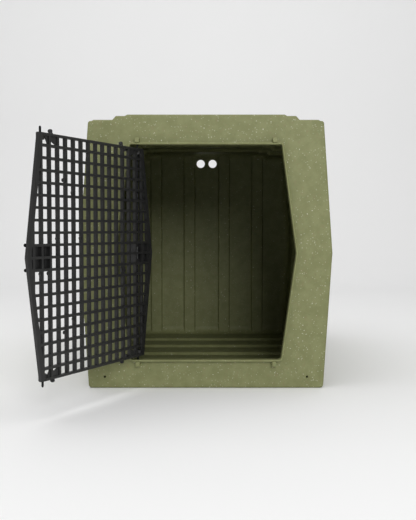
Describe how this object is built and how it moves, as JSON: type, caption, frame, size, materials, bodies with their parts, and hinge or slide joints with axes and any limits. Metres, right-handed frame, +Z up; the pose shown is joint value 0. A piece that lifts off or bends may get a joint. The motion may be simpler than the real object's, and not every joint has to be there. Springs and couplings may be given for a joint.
{
  "type": "dog kennel",
  "caption": "Ribbed one-piece moulded kennel with a six-sided doorway and a grid door that swings on corner rods with finger-slide latches.",
  "frame": {"origin": "on the underside, on the centre line, in the middle of the third flat band from the front", "axes": "+Z up, -Y out of the doorway, +X to the right seen from the front"},
  "size_m": [0.6793, 1.2443, 0.675],
  "materials": {
    "kennel_polyethylene": "rotomoulded polyethylene, olive green with sparse pale flecks, satin",
    "door_nylon": "injection-moulded glass-filled nylon, charcoal, fine matt texture",
    "black_steel": "black-oxide steel, satin",
    "spring_steel": "bright spring wire",
    "black_rubber": "moulded rubber, matt"
  },
  "bodies": {
    "kennel": {"shell": "kennel_polyethylene"},
    "door": {"door_grille": "door_nylon", "latch_housing_free": "door_nylon", "latch_screw_free_1": "black_steel", "latch_screw_free_2": "black_steel", "latch_screw_free_3": "black_steel", "latch_screw_free_4": "black_steel", "rod_spring_upper_free": "spring_steel", "rod_spring_lower_free": "spring_steel", "latch_housing_hinge": "door_nylon", "latch_screw_hinge_1": "black_steel", "latch_screw_hinge_2": "black_steel", "latch_screw_hinge_3": "black_steel", "latch_screw_hinge_4": "black_steel", "rod_spring_upper_hinge": "spring_steel", "rod_spring_lower_hinge": "spring_steel", "corner_bumper_upper_free": "black_rubber", "corner_bumper_upper_hinge": "black_rubber", "corner_bumper_lower_free": "black_rubber", "corner_bumper_lower_hinge": "black_rubber"},
    "rod_upper_free": {"finger_slide_upper_free": "door_nylon", "lock_rod_upper_free": "black_steel"},
    "rod_lower_free": {"finger_slide_lower_free": "door_nylon", "lock_rod_lower_free": "black_steel"},
    "rod_upper_hinge": {"finger_slide_upper_hinge": "door_nylon", "lock_rod_upper_hinge": "black_steel"},
    "rod_lower_hinge": {"finger_slide_lower_hinge": "door_nylon", "lock_rod_lower_hinge": "black_steel"}
  },
  "joints": [
    {"name": "door_swing", "type": "hinge", "parent": "kennel", "child": "door", "pos_m": [-0.168, -0.391, 0.3365], "axis": [0, 0, -1], "range_deg": [-120, 10]},
    {"name": "rod_upper_free_slide", "type": "slide", "parent": "door", "child": "rod_upper_free", "axis": [0, 0, -1], "range_m": [0, 0.009], "stiffness_N_per_m": 300, "springref_m": -0.01, "deforming": ["rod_spring_upper_free"]},
    {"name": "rod_lower_free_slide", "type": "slide", "parent": "door", "child": "rod_lower_free", "axis": [0, 0, 1], "range_m": [0, 0.009], "stiffness_N_per_m": 300, "springref_m": -0.01, "deforming": ["rod_spring_lower_free"]},
    {"name": "rod_upper_hinge_slide", "type": "slide", "parent": "door", "child": "rod_upper_hinge", "axis": [0, 0, -1], "range_m": [0, 0.009], "stiffness_N_per_m": 300, "springref_m": -0.01, "deforming": ["rod_spring_upper_hinge"]},
    {"name": "rod_lower_hinge_slide", "type": "slide", "parent": "door", "child": "rod_lower_hinge", "axis": [0, 0, 1], "range_m": [0, 0.009], "stiffness_N_per_m": 300, "springref_m": -0.01, "deforming": ["rod_spring_lower_hinge"]}
  ]
}
